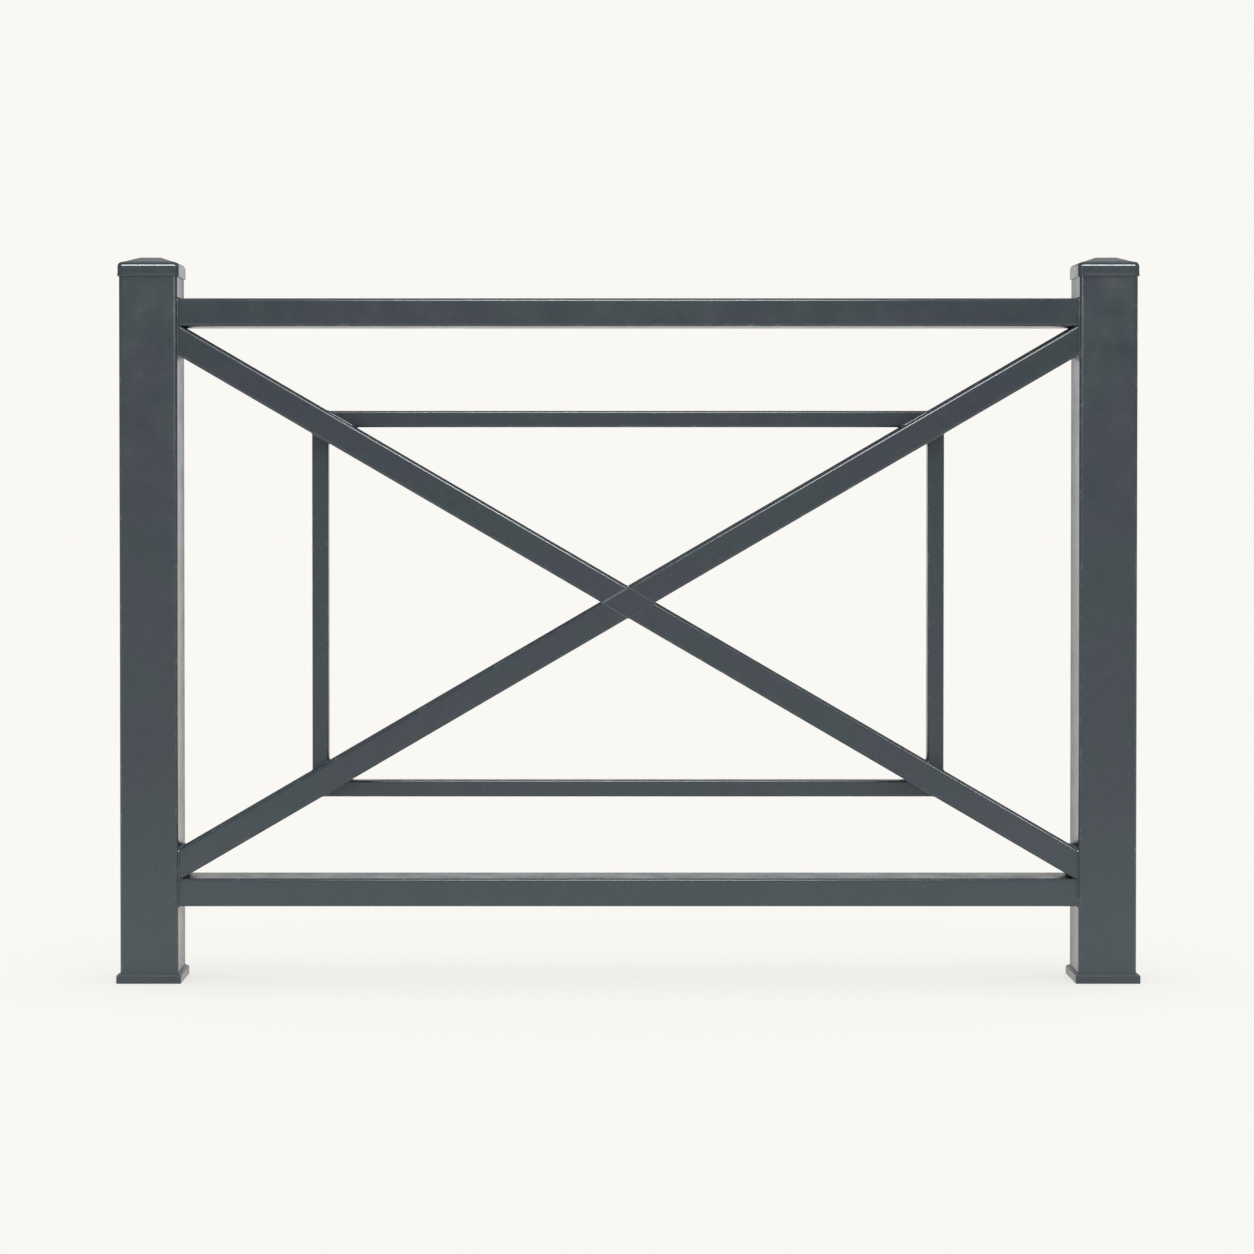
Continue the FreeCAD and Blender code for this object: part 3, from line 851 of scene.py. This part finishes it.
def make_corner_welds(material):
    """The beads round the ends of the rails and braces on the posts."""
    beads = []
    reach = HALF_BAY / math.cos(BRACE_ANGLE)
    rail_way = np.array(tuple(ALONG))
    for upper in (True, False):
        way = FALLING if upper else RISING
        brace_height = (CROSSING - way * reach).z
        low = TOP_RAIL_LOW if upper else BOTTOM_RAIL_LOW
        high = TOP_RAIL_HIGH if upper else BOTTOM_RAIL_HIGH
        meeting = low if upper else high
        path = corner_path(low, high, brace_height, LEFT_SEAT, upper)
        side = 1 if upper else -1
        brace_way = np.array(tuple(way))

        def lean_at(point):
            past = (meeting - point[2]) * side + LEAN_BLEND / 2
            share = min(1, max(0, past / LEAN_BLEND))
            blended = rail_way * (1 - share) + brace_way * share
            return blended / np.linalg.norm(blended)

        name = ("upper" if upper else "lower") + "_left_weld"
        seed = CORNER_WELD_SEED + upper
        mesh = bead_mesh(name + "_bead", path, ALONG, lean_at, POST_WELD_LEG, seed)
        beads.append(new_piece(name + "_bead", mesh, material, (name,)))
        twin = name.replace("left", "right")
        mesh = mirrored(mesh, twin + "_bead")
        beads.append(new_piece(twin + "_bead", mesh, material, (twin,)))
    return beads


# Dressed seams on the faces of the crossing. They wave in width and thin out at their ends.
# Their lighter coat is a painted highlight.
SEAM_SIDE_STEPS = 10
SEAM_WAVES = ((0.12, 11), (0.08, 29))
SEAM_END_TAPER = 0.1
SEAM_END_SLOPE = 12
SEAM_END_WIDTH = 0.5
SEAM_RIPPLE_LAG = 0.5
SEAM_RIPPLE_LEAST = 0.85
SEAM_RIPPLE_SHARE = 0.3
SEAM_SEED = 51

# The sides of the crossing as from, to, height and half width
SEAM_SIDES = (
    ("left", "top", 0.14 * MM, 1.5 * MM),
    ("left", "bottom", 0.05 * MM, 0.5 * MM),
    ("top", "right", 0.05 * MM, 0.4 * MM),
    ("right", "bottom", 0.04 * MM, 0.2 * MM),
)


def seam_mesh(name, start, end, outward, height, half_width, seed):
    """A low rippled line of weld from start to end on a face that looks outward."""
    rng = np.random.default_rng(seed)
    way = (end - start).normalized()
    sideways = way.cross(outward)
    length = (end - start).length
    count = int(length / BEAD_STEP)
    phases = rng.uniform(0, 2 * math.pi, len(SEAM_WAVES))
    rows = []
    for index in range(count + 1):
        along = index / count
        taper = min(1, SEAM_END_TAPER + SEAM_END_SLOPE * min(along, 1 - along))
        waves = zip(SEAM_WAVES, phases)
        wave = 1 + sum(size * math.sin(pace * along + phase) for (size, pace), phase in waves)
        half = half_width * wave * (SEAM_END_WIDTH + (1 - SEAM_END_WIDTH) * taper)
        centre = start + way * (length * along)
        row = []
        for step in range(SEAM_SIDE_STEPS + 1):
            across = 2 * step / SEAM_SIDE_STEPS - 1
            swell = 1 - across * across
            phase = (length * along / RIPPLE_PITCH - SEAM_RIPPLE_LAG * swell) % 1.0
            ripple = SEAM_RIPPLE_LEAST + SEAM_RIPPLE_SHARE * phase**RIPPLE_POWER
            rise = height * swell * taper * ripple
            row.append(centre + sideways * (half * across) + outward * rise)
        row.append(centre + sideways * half - outward * BEAD_EMBED)
        row.append(centre - sideways * half - outward * BEAD_EMBED)
        rows.append(row)
    mesh = ring_mesh(name, rows, closed=False)
    close_ends(mesh, len(rows[0]))
    finish_mesh(mesh, BEAD_SHARP_ANGLE)
    return mesh


def joined(name, meshes):
    """Several meshes as one, which takes their place."""
    work = bmesh.new()
    for mesh in meshes:
        work.from_mesh(mesh)
        bpy.data.meshes.remove(mesh)
    out = bpy.data.meshes.new(name)
    work.to_mesh(out)
    work.free()
    return out


def make_crossing_seams(material):
    """The faint seams on the front and the back of the crossing, in a lighter coat that paints
    their highlight.
    """
    half_long = BRACE_WIDTH / 2 / math.sin(BRACE_ANGLE)
    half_high = BRACE_WIDTH / 2 / math.cos(BRACE_ANGLE)
    for label, outward in (("front", -DEPTH), ("back", DEPTH)):
        middle = CROSSING + outward * RAIL_HALF_DEPTH
        corners = {
            "left": middle - ALONG * half_long,
            "right": middle + ALONG * half_long,
            "top": middle + UP * half_high,
            "bottom": middle - UP * half_high,
        }
        sides = []
        for index, (start, end, height, half) in enumerate(SEAM_SIDES):
            seed = SEAM_SEED + index
            side = seam_mesh("seam", corners[start], corners[end], outward, height, half, seed)
            sides.append(side)
        name = "crossing_" + label + "_seams"
        new_piece(name, joined(name, sides), material)


def make_inner_welds(material):
    """The beads round the ends of the inner bars on the braces."""
    left_x = box_middle("inner_left_bar", 0)
    top_z = box_middle("inner_top_bar", 2)
    bottom_z = box_middle("inner_bottom_bar", 2)
    bar_ends = (
        ("inner_top_left_weld", Vector((0, 0, top_z)), ALONG, FALLING_NORMAL),
        ("inner_bottom_left_weld", Vector((0, 0, bottom_z)), ALONG, -RISING_NORMAL),
        ("inner_left_upper_weld", Vector((left_x, 0, 0)), -UP, -FALLING_NORMAL),
        ("inner_left_lower_weld", Vector((left_x, 0, 0)), UP, RISING_NORMAL),
    )
    for index, (name, start, way, normal) in enumerate(bar_ends):
        side = CROSSING + normal * (BRACE_WIDTH / 2)
        lean = way.dot(normal)
        seat = start + way * ((side - start).dot(normal) / lean)
        across = DEPTH.cross(normal)
        path = bar_footprint(
            seat, across, INNER_BAR_HALF_WIDTH, INNER_BAR_HALF_DEPTH, INNER_CORNER, lean
        )
        climb = np.array(tuple(way))
        seed = INNER_WELD_SEED + index
        mesh = bead_mesh(name + "_bead", path, normal, lambda point: climb, INNER_WELD_LEG, seed)
        new_piece(name + "_bead", mesh, material, (name,))
        twin = name.replace("left_weld", "right_weld").replace("inner_left", "inner_right")
        mesh = mirrored(mesh, twin + "_bead")
        new_piece(twin + "_bead", mesh, material, (twin,))


# Camera and surroundings
make_camera()
make_world()
make_floor()

# Finishes
coat = powder_coat("railing_coat")
dusty_coat = powder_coat("dusty_top_coat", dull_tops=True)
weld_coat = powder_coat("weld_coat")
# The seams are lighter: a painted highlight
seam_highlight_coat = powder_coat("seam_highlight_coat", tint=SEAM_HIGHLIGHT_TINT, cool=SEAM_HIGHLIGHT_COOL)
cap_coat = powder_coat(
    "cap_coat",
    roughness=0.17,
    peel=0.07,
    tint=CAP_TINT,
    cool=CAP_COOL,
    edge_wear_and_highlight=0.3,
    dull_tops=True,
    keep_front=True,
)
# The collars' up-facing bevel is lighter: dust and a painted highlight
collar_coat = powder_coat(
    "collar_coat",
    roughness=0.22,
    peel=0.08,
    tint=COLLAR_TINT,
    cool=COLLAR_COOL,
    edge_wear_and_highlight=0.2,
    dust_share=0.2,
    ledge_dust_and_highlight=1.0,
)
dress(nodes, coat)
dress(("top_rail", "inner_top_bar"), dusty_coat)
dress(("falling_brace", "rising_brace_lower", "rising_brace_upper"), dusty_coat)
dress(("crossing_upper_weld", "crossing_lower_weld"), weld_coat)

# Pieces, and the soft boxes that they mirror
post_pieces = []
for end, centre in POST_CENTRES.items():
    post_pieces.append(nodes[end + "_post"])
    cap_name = end + "_post_cap"
    mesh = cap_mesh(cap_name, centre)
    post_pieces.append(new_piece(cap_name + "_shell", mesh, cap_coat, (cap_name,)))
    name = end + "_ground_collar"
    mesh = collar_mesh(name, centre)
    post_pieces.append(new_piece(name + "_ring", mesh, collar_coat, (name,)))
post_pieces += make_corner_welds(weld_coat)
make_inner_welds(weld_coat)
make_crossing_seams(seam_highlight_coat)
make_soft_boxes(post_pieces)

bpy.context.scene.view_settings.view_transform = "Standard"
